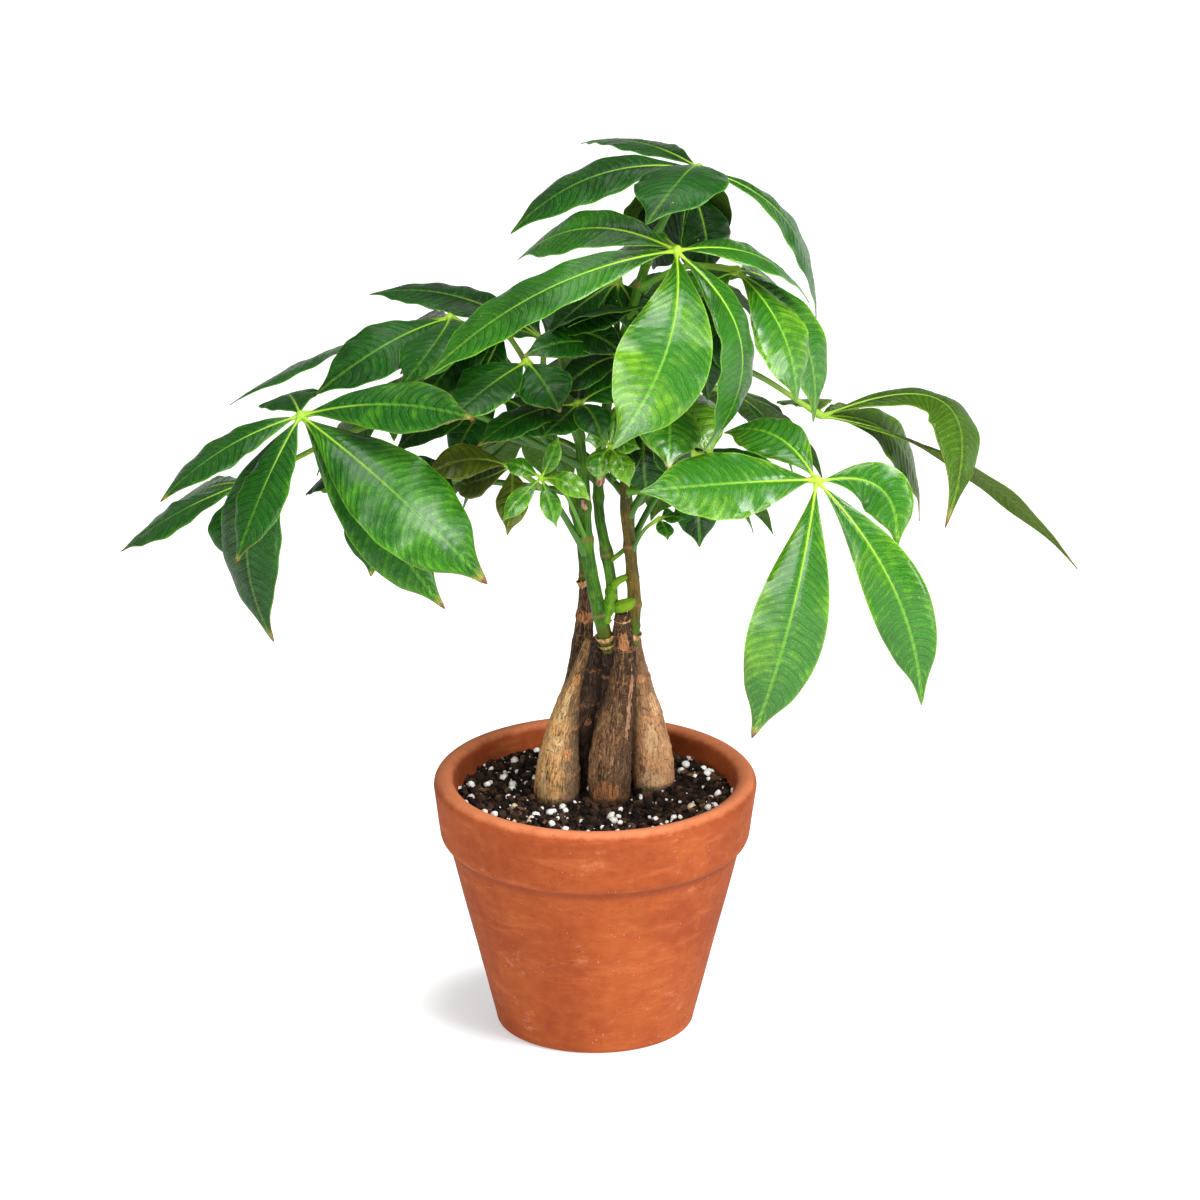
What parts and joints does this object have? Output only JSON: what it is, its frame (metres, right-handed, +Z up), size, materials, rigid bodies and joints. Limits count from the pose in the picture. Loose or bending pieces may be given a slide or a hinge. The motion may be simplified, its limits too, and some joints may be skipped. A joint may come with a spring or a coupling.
{
  "type": "potted money tree",
  "caption": "Small houseplant in a terracotta pot: slender trunks pressed together in dark soil, green shoots above, and large hand-shaped leaves of drooping pointed leaflets on long stalks",
  "frame": {"origin": "on the pot's axis, at the level of the base that the pot stands on; the leaves reach about as far to the front as to the back, and to the left as to the right, so this is also the middle of the whole plant's box, to 3 mm", "axes": "+Z up the pot's axis, out of the pot; -Y to the front, the side that the picture shows; +X to the right as seen from the front"},
  "size_m": [0.4491, 0.2318, 0.4401],
  "materials": {
    "terracotta": "unglazed fired clay, matte, with faint turning lines and pale specks",
    "potting_mix": "moist dark peat with white perlite grains, matte",
    "bark_tan": "smooth tan bark with grey streaks and fine cracks along it, matte",
    "bark_dark": "dark brown bark with papery orange scars, matte",
    "bark_rosy": "light tan bark with a pinkish cast and a round scar, matte",
    "stem_green": "smooth green shoot, browner towards its foot, slightly waxy",
    "stem_olive": "smooth olive-brown shoot, slightly waxy",
    "leaf_bright": "bright green leaf, waxy and semi-gloss, with pale ribs and quilted veins",
    "leaf_deep": "deep green leaf, waxy and semi-gloss, with pale ribs and quilted veins",
    "leaf_withered": "olive, dulled leaf with browned edges"
  },
  "bodies": {
    "root": {"pot": "terracotta", "soil": "potting_mix", "trunk_front_left": "bark_tan", "trunk_front_middle": "bark_dark", "trunk_right": "bark_rosy", "trunk_inner_left": "bark_dark", "trunk_back_left": "bark_dark", "trunk_inner_right": "bark_dark", "shoot_left": "stem_green", "shoot_middle": "stem_green", "shoot_right": "stem_olive", "shoot_back_left": "stem_green", "shoot_back": "stem_green", "leaf_crown_front": "leaf_bright", "leaf_crown_top": "leaf_deep", "leaf_crown_right": "leaf_bright", "leaf_right_low": "leaf_bright", "leaf_right_high": "leaf_deep", "leaf_left_outer": "leaf_deep", "leaf_left_low": "leaf_deep", "leaf_left_mid": "leaf_deep", "leaf_left_top": "leaf_deep", "leaf_centre_dark": "leaf_deep", "leaf_young_left": "leaf_bright", "leaf_young_middle": "leaf_bright", "leaf_young_right": "leaf_deep", "leaf_centre_right": "leaf_bright", "leaf_low_right": "leaf_deep", "leaf_left_inner": "leaf_deep", "leaf_left_behind": "leaf_deep", "leaf_withered": "leaf_withered", "leaf_back_high": "leaf_deep", "leaf_back_centre": "leaf_deep", "leaf_back_left": "leaf_deep", "leaf_back_right": "leaf_deep", "leaf_back_low": "leaf_deep", "leaf_back_low_right": "leaf_deep"}
  },
  "joints": []
}
